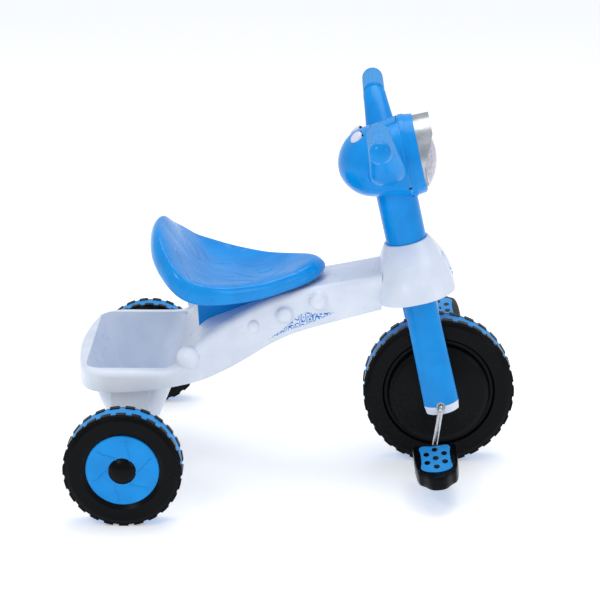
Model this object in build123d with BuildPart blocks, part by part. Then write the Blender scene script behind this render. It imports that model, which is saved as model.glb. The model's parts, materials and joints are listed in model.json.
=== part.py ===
from build123d import *
import os
from math import cos, radians, sin, sqrt

# Children's tricycle, in millimetres. +X is forward, +Y is the rider's left, +Z is up.
# The origin is on the floor, in the middle of the overall length and width.

os.makedirs("parts", exist_ok=True)

# ---- Driving dimensions -------------------------------------------------------------------
wheelbase = 441.0
front_wheel_radius = 110.0
rear_wheel_radius = 81.5
rear_half_track = 238.6  # centre plane to the middle of a rear tyre
steering_lean = 12.5  # degrees, top of the steering axis towards the rider
wall = 3.0  # moulded shells
panel_gap = 0.3  # between shells that meet but are not fastened
running_fit = 0.05  # radial clearance of a shaft in its bush
bush_fit = 0.05  # radial gap round a bush pressed in its seat

# Body: basket, shoulders and beam
basket_rear_reach = 80.0  # behind the rear axle
basket_half_width = 143.0
basket_corner = 42.0
rim_height = 183.0  # top of the basket's rim
rim_width = 15.0
skirt_depth = 30.0
edge_radius = 9.0
basket_floor_height = 92.0
shoulder_x_reach = 100.0  # from the rear axle to the joint of basket and beam
shoulder_height = 223.0
shoulder_half_width = 130.0
beam_half_width = 52.0
beam_head_drop = 51.0  # height of the beam where it meets the steering head
pillar_half_length = 26.0
pillar_half_width = 128.0
pillar_skin = 16.0  # thickness of the plastic that holds the axle
pillar_drop = 16.0  # below the rear axle's centre

# Steering head dome, measured along the steering axis from the front wheel's centre
dome_rim = front_wheel_radius + 50.0
dome_height = 71.0
dome_half_length = 56.0
dome_half_width = 92.0
collar_depth = 7.0

# Fork and column
post_radius = 20.0
post_wall = 4.0
column_radius = 29.0
column_wall = 3.5
column_socket = 8.0  # how far the column reaches into the head
crown_gap = 20.0  # tyre to the underside of the crown
crown_depth = 46.0
leg_half_width = 26.8
leg_centre = 1.5
leg_bulge = 23.0
leg_inner_low = 60.0  # centre plane to a leg's flat side, at the axle
leg_inner_high = 48.0  # the same, at the dome's rim
leg_taper = 2.2  # how much narrower a leg is at the dome's rim, each way
leg_cap_depth = 12.0

# Head and handlebar
head_radius = 71.0
head_height = 352.0
head_flat = 52.0  # centre of the ball down to its flat underside
bezel_radius = 58.5
bezel_start = 26.0
bezel_length = 20.0
lens_radius = 50.0
lens_dome_radius = 73.0
hood_reach = 23.5
grip_radius = 15.5
grip_inner = 133.0
grip_outer = 231.0
grip_height = 422.0
button_radius = 10.0
button_travel = 2.0

# Crank and pedals
rod_radius = 4.0
crank_length = 62.0
crank_offset = 88.5  # centre plane to the crank's upright part
crank_bend = 8.0
crank_angle = 8.0  # degrees behind straight down, near pedal
pedal_length = 122.0
pedal_width = 63.0
pedal_thickness = 21.0
pedal_tilt = 6.0
pad_thickness = 2.5

# Wheels
front_half_width = 23.0
rear_half_width = 19.5
lug_height = 1.8  # above the black shoulders
groove_depth = 4.2  # shoulders down to the floor of the coloured band's groove
band_radius_drop = 1.4
lug_width_share = 0.62  # of the step from lug to lug
front_lugs = 30
rear_lugs = 24
axle_radius = 5.0
disc_radius = 50.3
hubcap_radius = 19.0

# Seat
seat_half_width = 124.0
seat_shell = 4.0
seat_lip = 10.0
pedestal_half_width = 42.0

sides = {"left": 1, "right": -1}

# ---- Places worked out from the dimensions ------------------------------------------------
rear_axle_x = -(wheelbase + front_wheel_radius - max(basket_rear_reach, rear_wheel_radius)) / 2
front_axle_x = rear_axle_x + wheelbase
lean = radians(steering_lean)
forward = Vector(cos(lean), 0, sin(lean))
upward = Vector(-sin(lean), 0, cos(lean))
steering = Plane(
    origin=(front_axle_x, 0, front_wheel_radius), x_dir=forward, z_dir=upward
)
head_centre = steering.from_local_coords(Vector(-2, 0, head_height))
head_axis = Axis(head_centre, forward)
head_side = Plane(origin=head_centre, x_dir=forward, z_dir=(0, -1, 0))
dome_top = dome_rim + dome_height
crown_low = front_wheel_radius + crown_gap
crown_high = crown_low + crown_depth
head_low = head_height - head_flat
dome_back_x = front_axle_x - dome_half_length * cos(lean) - dome_rim * sin(lean)
beam_front_x = dome_back_x + 4.0


def save(piece, label):
    """Label one finished piece and write it as its own STEP."""
    piece.part.label = label
    export_step(piece.part, f"parts/{label}.step")


def fore(distance):
    """X of a place given as its distance in front of the rear axle."""
    return rear_axle_x + distance


# ---- Body shell: basket, shoulders and beam -----------------------------------------------
beam_high_z = steering.from_local_coords(Vector(-dome_half_length, 0, dome_rim)).Z + 43.0
beam_low_z = beam_high_z - beam_head_drop
sill_rear = rim_height - skirt_depth


def along_beam(share):
    """X at a share of the way from the shoulders to the steering head."""
    return fore(shoulder_x_reach) + share * (beam_front_x - fore(shoulder_x_reach))


def crest_points(drop):
    """The body's top line from the shoulders forward, lowered by drop."""
    rise = beam_high_z - shoulder_height
    shares = [(0.12, 0.20), (0.23, 0.35), (0.41, 0.56), (0.66, 0.77)]
    line = [(fore(shoulder_x_reach), shoulder_height - drop)]
    line += [(along_beam(f), shoulder_height + g * rise - drop) for f, g in shares]
    return line + [(beam_front_x, beam_high_z - drop)]


def sill_points():
    """The body's bottom line from the basket forward."""
    rise = beam_low_z - sill_rear
    shares = [(0.0, 0.14), (0.16, 0.20), (0.41, 0.50), (0.66, 0.74)]
    line = [(fore(-10), sill_rear)]
    line += [(along_beam(f), sill_rear + g * rise) for f, g in shares]
    return line + [(beam_front_x, beam_low_z)]


def body_block(inset):
    """The space inside the body's skin; inset is 0 for its outside and the wall for its inside."""
    rear_x = fore(-basket_rear_reach)
    with BuildPart() as block:
        with BuildSketch(Plane.XZ):
            with BuildLine():
                level = Line(
                    (rear_x - 5, rim_height - inset), (fore(45), rim_height - inset)
                )
                crest = Spline(level @ 1, *crest_points(inset), tangents=[(1, 0), (1, 0.22)])
                if inset:
                    Polyline(
                        crest @ 1,
                        (beam_front_x, sill_rear - 10),
                        (rear_x - 5, sill_rear - 10),
                        level @ 0,
                    )
                else:
                    points = sill_points()
                    sill = Spline(*points, tangents=[(1, 0.03), (1, 0.28)])
                    Line(crest @ 1, sill @ 1)
                    Polyline(sill @ 0, (rear_x - 5, sill_rear), level @ 0)
            make_face()
        extrude(amount=basket_half_width + 10, both=True)
        with BuildSketch():
            with BuildLine():
                back = ThreePointArc(
                    (rear_x + 10, basket_corner - basket_half_width + inset),
                    (rear_x + inset, 0),
                    (rear_x + 10, basket_half_width - basket_corner - inset),
                )
                for side in sides.values():
                    corner = Spline(
                        (rear_x + 10, side * (basket_half_width - basket_corner - inset)),
                        (rear_x + basket_corner + 12, side * (basket_half_width - inset)),
                        tangents=[(0.2, side), (1, 0)],
                    )
                    flank = Spline(
                        corner @ 1,
                        (fore(20), side * (basket_half_width - inset)),
                        (fore(65), side * (basket_half_width - 1 - inset)),
                        (fore(shoulder_x_reach), side * (shoulder_half_width - inset)),
                        (along_beam(0.12), side * (0.77 * shoulder_half_width - inset)),
                        (along_beam(0.23), side * (0.59 * shoulder_half_width - inset)),
                        (along_beam(0.41), side * (beam_half_width + 5 - inset)),
                        (along_beam(0.66), side * (beam_half_width - inset)),
                        (beam_front_x, side * (beam_half_width - inset)),
                        tangents=[(1, 0), (1, 0)],
                    )
                    Line(flank @ 1, (beam_front_x, 0))
            make_face()
        extrude(amount=2 * beam_high_z, mode=Mode.INTERSECT)
        top_edges = block.faces().filter_by(lambda face: face.normal_at().Z > 0.5).edges()
        outline = ShapeList(set(top_edges)).filter_by(Axis.Y, reverse=True)
        fillet(outline, radius=edge_radius - inset)
    return block.part


def tub(z_low, z_high, inset):
    """The basket's tapering tub between two heights; inset is 0 outside and the wall inside."""

    def mouth(height):
        share = (height - basket_floor_height) / (rim_height - basket_floor_height)
        rear = fore(-30) - share * (basket_rear_reach - rim_width - 30)
        front = fore(36) + share * 36
        half = basket_half_width - rim_width - (1 - share) * 14
        return rear + inset, front - inset, half - inset

    with BuildPart() as space:
        for height in (z_low, z_high):
            rear, front, half = mouth(height)
            with BuildSketch(Plane.XY.offset(height)):
                with Locations(((rear + front) / 2, 0)):
                    RectangleRounded(front - rear, 2 * half, 24 - inset)
        loft()
    return space.part


rear_axle_centre = (rear_axle_x, 0, rear_wheel_radius)
rear_bush_radius = axle_radius + 3.0
joint_bolt_radius = 2.5
joint_bolt_places = [
    (side * spread, height)
    for side in sides.values()
    for spread, height in ((92, sill_rear + 28), (40, shoulder_height - 20))
]
body_outside = body_block(0)
body_inside = body_block(wall)


def bulkhead(thickness):
    """The plate that closes basket (thickness < 0) or beam (thickness > 0) at their joint."""
    with BuildPart() as plate:
        with BuildSketch(Plane.YZ.offset(fore(shoulder_x_reach))):
            with Locations((0, shoulder_height)):
                Rectangle(3 * shoulder_half_width, 2 * shoulder_height)
        extrude(amount=thickness)
        add(body_outside, mode=Mode.INTERSECT)
    return plate.part


def crest_at(x):
    """Height of the body's top line at a place between the shoulders and the steering head."""
    line = crest_points(0)
    for (x0, z0), (x1, z1) in zip(line, line[1:]):
        if x0 <= x <= x1:
            return z0 + (x - x0) / (x1 - x0) * (z1 - z0)
    return line[-1][1]


# the three screws that hold the seat: distance from the shoulder joint and from the middle
seat_screw_radius = 2.0
seat_screw_head = 2.5
seat_screw_depth = 10.0  # crest down to the top of the head
seat_screw_places = [
    (fore(shoulder_x_reach + ahead), across) for ahead, across in ((14, 28), (14, -28), (74, 0))
]
with BuildPart() as seat_bosses:
    for x, y in seat_screw_places:
        with BuildSketch(Plane.XY.offset(crest_at(x) - seat_screw_depth)):
            with Locations((x, y)):
                Circle(6)
        extrude(amount=2 * seat_screw_depth)
    add(body_outside, mode=Mode.INTERSECT)


# Basket: rim, skirt, shoulders, tub and the pillars that carry the axle
with BuildPart() as rear_basket:
    add(body_outside)
    add(body_inside, mode=Mode.SUBTRACT)
    split(bisect_by=Plane.YZ.offset(fore(shoulder_x_reach)), keep=Keep.BOTTOM)
    add(bulkhead(-wall))
    add(tub(basket_floor_height, rim_height - 0.5, 0))
    for side in sides.values():
        with BuildSketch(Plane.XZ.offset(-side * (pillar_half_width - pillar_skin))):
            with BuildLine():
                Polyline(
                    (fore(-pillar_half_length), sill_rear + 20),
                    (fore(pillar_half_length), sill_rear + 20),
                    (fore(pillar_half_length), rear_wheel_radius),
                    (fore(14), rear_wheel_radius - pillar_drop),
                    (fore(-14), rear_wheel_radius - pillar_drop),
                    (fore(-pillar_half_length), rear_wheel_radius),
                    close=True,
                )
            make_face()
        extrude(amount=-side * pillar_skin)
    add(tub(basket_floor_height + wall, rim_height + 1, wall), mode=Mode.SUBTRACT)
    with BuildSketch(Plane.XY.offset(rim_height - 0.5)):
        with Locations((fore((72 - basket_rear_reach + rim_width) / 2), 0)):
            RectangleRounded(
                72 + basket_rear_reach - rim_width - 2 * wall,
                2 * (basket_half_width - rim_width - wall),
                24 - wall,
            )
    extrude(amount=60, mode=Mode.SUBTRACT)
    for side in sides.values():
        boss_y = side * (shoulder_half_width - 3)
        with Locations(Pos(fore(shoulder_x_reach - 16), boss_y, shoulder_height - 24)):
            Sphere(17)
    split(bisect_by=Plane.YZ.offset(fore(shoulder_x_reach)), keep=Keep.BOTTOM)
    with Locations(Location(rear_axle_centre, (90, 0, 0))):
        Cylinder(rear_bush_radius + bush_fit, 2 * pillar_half_width + 20, mode=Mode.SUBTRACT)
    with BuildSketch(Plane.YZ.offset(fore(shoulder_x_reach))):
        with Locations(*joint_bolt_places):
            Circle(joint_bolt_radius + 0.1)
    extrude(amount=-2 * wall, mode=Mode.SUBTRACT)
save(rear_basket, "rear_basket")


def dome_block(inset):
    """The steering head's dome; inset is 0 for its outside and the wall for its inside."""
    # share of the height, half length and half width as shares of the rim's, corner as a share
    stations = [(0.0, 0.99, 1.0), (0.17, 0.97, 0.96), (0.43, 0.88, 0.84), (0.74, 0.73, 0.60)]
    with BuildPart() as block:
        for share, long_share, wide_share in stations:
            half_length = dome_half_length * long_share - inset
            half_width = dome_half_width * wide_share - inset
            with BuildSketch(steering.offset(dome_rim + share * (dome_height - inset))):
                RectangleRounded(2 * half_length, 2 * half_width, 0.9 * half_length)
        collar = column_radius + 3.5 - inset
        with BuildSketch(steering.offset(dome_top - inset)):
            RectangleRounded(2 * collar, 2 * collar, 0.97 * collar)
        loft()
    return block.part


# Beam: open channel from the shoulders to the dome, with the bearing tube inside the dome
bush_outer_radius = post_radius + running_fit + 3.0
bearing_low = crown_high + 4.0
bearing_high = dome_top - collar_depth
with BuildPart() as front_beam:
    add(body_outside)
    add(body_inside, mode=Mode.SUBTRACT)
    split(bisect_by=Plane.YZ.offset(fore(shoulder_x_reach)), keep=Keep.TOP)
    add(bulkhead(wall))
    with BuildSketch(Plane.YZ.offset(fore(shoulder_x_reach))):
        with Locations(*joint_bolt_places):
            Circle(joint_bolt_radius + 0.1)
    extrude(amount=2 * wall, mode=Mode.SUBTRACT)
    # side bumps that follow the beam's top line
    for share, down in ((0.27, 25), (0.46, 25), (0.65, 18)):
        crest_z = shoulder_height + (share + 0.12) * (beam_high_z - shoulder_height)
        half = beam_half_width + max(0, 0.42 - share) * 60
        for side in sides.values():
            with Locations(Pos(along_beam(share), side * (half - 4), crest_z - down)):
                Sphere(13)
    add(body_inside, mode=Mode.SUBTRACT)
    add(seat_bosses.part)
    for x, y in seat_screw_places:
        with BuildSketch(Plane.XY.offset(crest_at(x) - 2 * seat_screw_depth)):
            with Locations((x, y)):
                Circle(seat_screw_radius + 0.2)
        extrude(amount=4 * seat_screw_depth, mode=Mode.SUBTRACT)
    add(dome_block(0))
    add(dome_block(wall), mode=Mode.SUBTRACT)
    with BuildSketch(steering.offset(bearing_low)):
        Circle(bush_outer_radius + 4)
    extrude(amount=bearing_high - bearing_low)
    with BuildSketch(steering.offset(bearing_high - 4)):
        Circle(column_radius + 6)
    extrude(amount=4)
    with BuildSketch(steering.offset(bearing_low + 8)):
        with PolarLocations(0, 4, start_angle=45):
            Rectangle(2 * (column_radius + 8), wall)
    extrude(amount=bearing_high - bearing_low - 10)
    with BuildSketch(steering.offset(crown_low)):
        Circle(bush_outer_radius + bush_fit)
    extrude(amount=dome_top - crown_low + 5, mode=Mode.SUBTRACT)
    with BuildSketch(steering.offset(bearing_high)):
        Circle(column_radius + 0.8)
    extrude(amount=2 * collar_depth, mode=Mode.SUBTRACT)
save(front_beam, "front_beam")


# ---- Rear axle, its bushes and the fasteners of the body ----------------------------------
wheel_inner_y = rear_half_track - rear_half_width
axle_end_y = rear_half_track + 24
with BuildPart() as rear_axle:
    with Locations(Location(rear_axle_centre, (90, 0, 0))):
        Cylinder(axle_radius, 2 * axle_end_y)
    chamfer(rear_axle.edges().filter_by(GeomType.CIRCLE), 0.8)
save(rear_axle, "rear_axle")


def ring_on_axle(side, y_start, y_end, outer, inner, centre=rear_axle_centre):
    """A bush, washer or spacer round a crosswise shaft, between two distances from the middle."""
    with BuildPart() as ring:
        with BuildSketch(Plane(origin=(centre[0], side * y_start, centre[2]), z_dir=(0, side, 0))):
            Circle(outer)
            Circle(inner, mode=Mode.SUBTRACT)
        extrude(amount=y_end - y_start)
    return ring


def on_both_sides(y_start, y_end, outer, inner, centre=rear_axle_centre):
    """The same ring on the left and on the right."""
    with BuildPart() as pair:
        for side in sides.values():
            add(ring_on_axle(side, y_start, y_end, outer, inner, centre).part)
    return pair


bush_flange = 2.0
axle_hole = axle_radius + bush_fit
with BuildPart() as axle_bushes:
    low = pillar_half_width - pillar_skin
    add(on_both_sides(low, pillar_half_width, rear_bush_radius, axle_hole).part)
    add(on_both_sides(pillar_half_width, pillar_half_width + bush_flange, 13, axle_hole).part)
save(axle_bushes, "axle_bushes")

spacer_end = wheel_inner_y - 1
axle_spacers = on_both_sides(pillar_half_width + bush_flange, spacer_end, 9, axle_hole)
save(axle_spacers, "axle_spacers")

push_nut_start = rear_half_track + rear_half_width + 1.5
axle_push_nuts = on_both_sides(push_nut_start, push_nut_start + 1.5, 9, axle_hole)
save(axle_push_nuts, "axle_push_nuts")

with BuildPart() as body_joint_screws:
    for y, z in joint_bolt_places:
        with BuildSketch(Plane.YZ.offset(fore(shoulder_x_reach) - wall - 2.4)):
            with Locations((y, z)):
                Circle(2 * joint_bolt_radius)
        extrude(amount=2.4)
        with BuildSketch(Plane.YZ.offset(fore(shoulder_x_reach) - wall)):
            with Locations((y, z)):
                Circle(joint_bolt_radius)
        extrude(amount=2 * wall + 3)
save(body_joint_screws, "body_joint_screws")

# ---- Seat and pedestal --------------------------------------------------------------------
seat_back = 24.0
seat_front = 277.0


def seat_outline(inset):
    """The saddle seen from above, moved in by inset."""
    with BuildSketch() as outline:
        with BuildLine():
            for side in sides.values():
                Spline(
                    (fore(seat_back + inset), 0),
                    (fore(46), side * (0.71 * seat_half_width - inset)),
                    (fore(95), side * (seat_half_width - inset)),
                    (fore(160), side * (0.8 * seat_half_width - inset)),
                    (fore(207), side * (0.56 * seat_half_width - inset)),
                    (fore(250), side * (0.34 * seat_half_width - inset)),
                    (fore(seat_front - inset), 0),
                    tangents=[(0, side), (0, -side)],
                )
        make_face()
    return outline.sketch


def seat_slab(inset, dish, height):
    """A prism of the saddle's outline above (height > 0) or below the sitting surface."""
    with BuildPart() as slab:
        with BuildSketch(Plane.XZ):
            with BuildLine():
                surface = Spline(
                    (fore(10), 372 - dish),
                    (fore(38), 342 - dish),
                    (fore(66), 308 - dish),
                    (fore(100), 286 - dish),
                    (fore(160), 279 - dish),
                    (fore(207), 283 - dish),
                    (fore(250), 296 - dish),
                    (fore(seat_front + 20), 309 - dish),
                )
                Line(surface @ 0, surface @ 0 + Vector(0, height))
                Line(surface @ 0 + Vector(0, height), surface @ 1 + Vector(0, height))
                Line(surface @ 1 + Vector(0, height), surface @ 1)
            make_face()
        extrude(amount=seat_half_width + 10, both=True)
        extrude(seat_outline(inset), amount=500, mode=Mode.INTERSECT)
    return slab.part


with BuildPart() as seat:
    with BuildSketch(Plane.XZ):
        with BuildLine():
            top = Spline(
                (fore(39), 364),
                (fore(66), 324),
                (fore(100), 303),
                (fore(160), 293),
                (fore(207), 296),
                (fore(255), 307),
                tangents=[(1, -0.2), (1, 0)],
            )
            nose = Spline(
                top @ 1,
                (fore(seat_front + 5), 291),
                (fore(262), 283),
                tangents=[top % 1, (-1, -0.3)],
            )
            low = Spline(
                nose @ 1,
                (fore(247), 280),
                (fore(207), 273),
                (fore(160), 270),
                (fore(115), 273),
                (fore(75), 281),
                tangents=[nose % 1, (-1, 0.4)],
            )
            Spline(
                low @ 1,
                (fore(40), 303),
                (fore(seat_back - 4), 335),
                top @ 0,
                tangents=[low % 1, top % 0],
            )
        make_face()
    extrude(amount=seat_half_width + 10, both=True)
    extrude(seat_outline(0), amount=500, mode=Mode.INTERSECT)
    add(seat_slab(seat_lip, 0, 150), mode=Mode.SUBTRACT)
    add(seat_slab(seat_shell, seat_shell, -150), mode=Mode.SUBTRACT)
save(seat, "seat")

pedestal_back = 92.0
pedestal_front = 190.0
pedestal_foot = shoulder_height - 15
with BuildPart() as seat_pedestal:
    with BuildSketch(Plane.XZ):
        with BuildLine():
            Polyline(
                (fore(pedestal_back + 3), pedestal_foot),
                (fore(pedestal_front), pedestal_foot),
                (fore(pedestal_front), 300),
                (fore(pedestal_back - 2), 300),
                close=True,
            )
        make_face()
    extrude(amount=pedestal_half_width, both=True)
    fillet(seat_pedestal.edges().filter_by(Axis.Z), 8)
    add(seat_slab(-20, seat_shell, 150), mode=Mode.SUBTRACT)
    add(body_outside, mode=Mode.SUBTRACT)
save(seat_pedestal, "seat_pedestal")

with BuildPart() as seat_screws:
    for x, y in seat_screw_places:
        with BuildSketch(Plane.XY.offset(crest_at(x) - seat_screw_depth)):
            with Locations((x, y)):
                Circle(2 * seat_screw_radius)
        extrude(amount=-seat_screw_head)
        with BuildSketch(Plane.XY.offset(crest_at(x) - seat_screw_depth)):
            with Locations((x, y)):
                Circle(seat_screw_radius)
        extrude(amount=seat_screw_depth + 14)
save(seat_screws, "seat_screws")

# ---- Steering: bush, washer, fork, column -------------------------------------------------
with BuildPart() as steering_bush:
    with BuildSketch(steering.offset(bearing_low)):
        Circle(bush_outer_radius)
        Circle(post_radius + running_fit, mode=Mode.SUBTRACT)
    extrude(amount=bearing_high - bearing_low)
    with BuildSketch(steering.offset(bearing_high)):
        Circle(column_radius - 1)
        Circle(post_radius + running_fit, mode=Mode.SUBTRACT)
    extrude(amount=1.2)
    with BuildSketch(steering.offset(bearing_low)):
        Circle(bush_outer_radius + 4)
        Circle(post_radius + running_fit, mode=Mode.SUBTRACT)
    extrude(amount=-1.5)
save(steering_bush, "steering_bush")

with BuildPart() as thrust_washer:
    with BuildSketch(steering.offset(crown_high)):
        Circle(bush_outer_radius + 4)
        Circle(post_radius + 0.2, mode=Mode.SUBTRACT)
    extrude(amount=2)
save(thrust_washer, "thrust_washer")


def leg_section(height, side, inset):
    """One fork leg's half-round section at a height along the steering axis."""
    share = height / dome_rim
    flat = leg_inner_low + share * (leg_inner_high - leg_inner_low) + inset
    half = leg_half_width - inset - share * leg_taper
    bulge = leg_bulge - 2 * inset - share * leg_taper
    with BuildSketch(steering.offset(height)) as section:
        with BuildLine():
            chord = Line((leg_centre - half, side * flat), (leg_centre + half, side * flat))
            ThreePointArc(chord @ 1, (leg_centre, side * (flat + bulge)), chord @ 0)
        make_face()
        fillet(section.vertices(), 5 - inset)
    return section.sketch


fork_axle_bush_radius = rod_radius + running_fit + 2.5
post_top = head_low + 6
with BuildPart() as fork:
    for side in sides.values():
        loft([leg_section(0, side, 0), leg_section(crown_high - 4, side, 0)])
    with BuildSketch(steering.offset(crown_low)):
        RectangleRounded(2 * leg_half_width - 4, 2 * leg_inner_high + 16, 12)
    extrude(amount=crown_depth)
    for side in sides.values():
        loft(
            [leg_section(-1, side, wall), leg_section(crown_low - 6, side, wall)],
            mode=Mode.SUBTRACT,
        )
    with BuildSketch(steering.offset(crown_high)):
        Circle(post_radius)
        Circle(post_radius - post_wall, mode=Mode.SUBTRACT)
    extrude(amount=post_top - crown_high)
    with Locations(Location(steering.origin, (90, 0, 0))):
        Cylinder(
            fork_axle_bush_radius + bush_fit, 2 * crank_offset, mode=Mode.SUBTRACT
        )
save(fork, "fork")

axle_centre = tuple(steering.origin)
for name, side in sides.items():
    # the white cap closes the leg from below and holds the crank rod's bush
    with BuildPart() as leg_cap:
        loft([leg_section(0, side, 0), leg_section(-leg_cap_depth, side, 2.5)])
        loft([leg_section(0, side, wall + 0.1), leg_section(9, side, wall + 0.1)])
        with Locations(Location(steering.origin, (90, 0, 0))):
            Cylinder(
                fork_axle_bush_radius + bush_fit, 2 * crank_offset, mode=Mode.SUBTRACT
            )
    save(leg_cap, f"{name}_leg_cap")
fork_bushes = on_both_sides(
    leg_inner_low - 1,
    crank_offset - crank_bend - 0.5,
    fork_axle_bush_radius,
    rod_radius + running_fit,
    axle_centre,
)
save(fork_bushes, "fork_bushes")

with BuildPart() as column:
    with BuildSketch(steering.offset(bearing_high + 1.5)):
        Circle(column_radius)
        Circle(column_radius - column_wall, mode=Mode.SUBTRACT)
    extrude(amount=head_low + column_socket - bearing_high - 1.5)
    with BuildSketch(steering.offset(bearing_high + 1.5)):
        Circle(column_radius - column_wall)
        Circle(post_radius + 0.1, mode=Mode.SUBTRACT)
    extrude(amount=8)
    with BuildSketch(steering.offset(head_low - 6)):
        Circle(column_radius - column_wall)
        Circle(post_radius + 0.1, mode=Mode.SUBTRACT)
    extrude(amount=8)
save(column, "column")

# ---- Head: ball, bezel, lamp ---------------------------------------------------------------
def ball(radius, flat):
    """The head's ball, cut by its front plane and its flat underside."""
    with BuildPart() as shape:
        with BuildSketch(head_side):
            with BuildLine():
                edge = sqrt(radius**2 - bezel_start**2)
                arc = RadiusArc((-radius, 0), (bezel_start, edge), radius)
                Polyline(arc @ 1, (bezel_start, 0), (-radius, 0))
            make_face()
        revolve(axis=head_axis)
        split(bisect_by=steering.offset(head_height - flat), keep=Keep.TOP)
    return shape.part


ball_outside = ball(head_radius, head_flat)
button_tilt = {name: (-38, side * 24) for name, side in sides.items()}


def button_plane(name):
    """The plane of one push button on the upper rear of the ball, facing outwards."""
    along, across = button_tilt[name]
    up = sqrt(head_radius**2 - along**2 - across**2)
    outward = forward * along + Vector(0, across, 0) + upward * up
    return Plane(origin=head_centre + outward, z_dir=outward)


panel_plane = Plane(origin=head_centre + upward * 56 + forward * 10, x_dir=forward, z_dir=upward)
with BuildPart() as head_shell:
    add(ball_outside)
    add(ball(head_radius - wall, head_flat - wall), mode=Mode.SUBTRACT)
    with BuildSketch(steering.offset(head_low - 2)):
        Circle(column_radius + 0.1)
    extrude(amount=10, mode=Mode.SUBTRACT)
    for name in sides:
        with BuildSketch(button_plane(name).offset(-8)):
            Circle(button_radius + 0.3)
        extrude(amount=12, mode=Mode.SUBTRACT)
    with BuildSketch(panel_plane):
        Trapezoid(44, 34, 75, rotation=90)
    extrude(amount=20, mode=Mode.SUBTRACT)
save(head_shell, "head_shell")

with BuildPart() as dashboard_panel:
    with BuildSketch(panel_plane):
        Trapezoid(43.4, 33.4, 75, rotation=90)
    extrude(amount=20)
    add(ball_outside, mode=Mode.INTERSECT)
    add(ball(head_radius - wall, head_flat - wall), mode=Mode.SUBTRACT)
save(dashboard_panel, "dashboard_panel")

with BuildPart() as head_bezel:
    with BuildSketch(head_side):
        with BuildLine():
            Polyline(
                (bezel_start, lens_radius + 1.5),
                (bezel_start, bezel_radius + 1),
                (bezel_start + 7, bezel_radius + 1),
                (bezel_start + 7, bezel_radius),
                (bezel_start + bezel_length, bezel_radius - 2),
                (bezel_start + bezel_length, lens_radius + 4.5),
                (bezel_start + 4, lens_radius + 1.5),
                close=True,
            )
        make_face()
    revolve(axis=head_axis)
    with BuildSketch(steering.offset(bearing_high)):
        Circle(column_radius + panel_gap)
    extrude(amount=head_low + column_socket + panel_gap - bearing_high, mode=Mode.SUBTRACT)
save(head_bezel, "head_bezel")

# chrome hood: a short tube whose front is cut away towards the bottom
with BuildPart() as lamp_hood:
    with BuildSketch(head_side):
        with BuildLine():
            Polyline(
                (bezel_start + 4.2, lens_radius),
                (bezel_start + 4.2, lens_radius + 1.3),
                (bezel_start + bezel_length, lens_radius + 4.3),
                (bezel_start + bezel_length + hood_reach, lens_radius + 4.3),
                (bezel_start + bezel_length + hood_reach, lens_radius + 2.8),
                (bezel_start + bezel_length, lens_radius + 2.8),
                close=True,
            )
        make_face()
    revolve(axis=head_axis)
    with BuildSketch(head_side):
        with BuildLine():
            cut = Polyline(
                (bezel_start + bezel_length + hood_reach + 6, lens_radius - 4),
                (bezel_start + bezel_length + 3, -10),
                (bezel_start + bezel_length + 1, -lens_radius - 8),
                (bezel_start + 100, -lens_radius - 8),
                (bezel_start + 100, lens_radius - 4),
                close=True,
            )
        make_face()
    extrude(amount=80, both=True, mode=Mode.SUBTRACT)
    with BuildSketch(steering.offset(bearing_high)):
        Circle(column_radius + panel_gap)
    extrude(amount=head_low + column_socket + panel_gap - bearing_high, mode=Mode.SUBTRACT)
save(lamp_hood, "lamp_hood")

lens_centre_shift = bezel_start + bezel_length + hood_reach - lens_dome_radius
with BuildPart() as lens:
    with BuildSketch(head_side):
        with BuildLine():
            rim = lens_radius - 0.4
            reach = lens_centre_shift + sqrt(lens_dome_radius**2 - rim**2)
            inner = lens_dome_radius - 2
            inner_rim = rim - 2
            inner_reach = lens_centre_shift + sqrt(inner**2 - inner_rim**2)
            dome = RadiusArc((reach, rim), (lens_centre_shift + lens_dome_radius, 0), lens_dome_radius)
            hollow = RadiusArc((lens_centre_shift + inner, 0), (inner_reach, inner_rim), -inner)
            Line(dome @ 1, hollow @ 0)
            Polyline(hollow @ 1, (bezel_start + 12, inner_rim), (bezel_start + 12, rim), dome @ 0)
        make_face()
    revolve(axis=head_axis)
save(lens, "lens")

with BuildPart() as reflector:
    with BuildSketch(head_side):
        with BuildLine():
            bowl = Spline((bezel_start - 8, 6), (bezel_start - 2, 26), (bezel_start + 10, 47))
            back = Spline((bezel_start + 10, 49), (bezel_start - 4, 27), (bezel_start - 10, 6))
            Line(bowl @ 1, back @ 0)
            Line(back @ 1, bowl @ 0)
        make_face()
    revolve(axis=head_axis)
save(reflector, "reflector")

with BuildPart() as lamp_led:
    with BuildSketch(Plane(origin=head_centre + forward * (bezel_start - 12), z_dir=forward)):
        Circle(4)
    extrude(amount=9)
    fillet(lamp_led.edges().filter_by(GeomType.CIRCLE).sort_by(head_axis)[-1], 2)
save(lamp_led, "lamp_led")

# ---- Sound module inside the ball ----------------------------------------------------------
with BuildPart() as circuit_board:
    with BuildSketch(Plane(origin=head_centre + forward * 8, x_dir=(0, 1, 0), z_dir=forward)):
        RectangleRounded(64, 44, 3)
    extrude(amount=1.6)
save(circuit_board, "circuit_board")

with BuildPart() as speaker:
    with BuildSketch(Plane(origin=head_centre - forward * 50, z_dir=forward)):
        Circle(20)
    extrude(amount=5)
    with BuildSketch(Plane(origin=head_centre - forward * 45, z_dir=forward)):
        Circle(11)
    extrude(amount=9)
save(speaker, "speaker")

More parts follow.
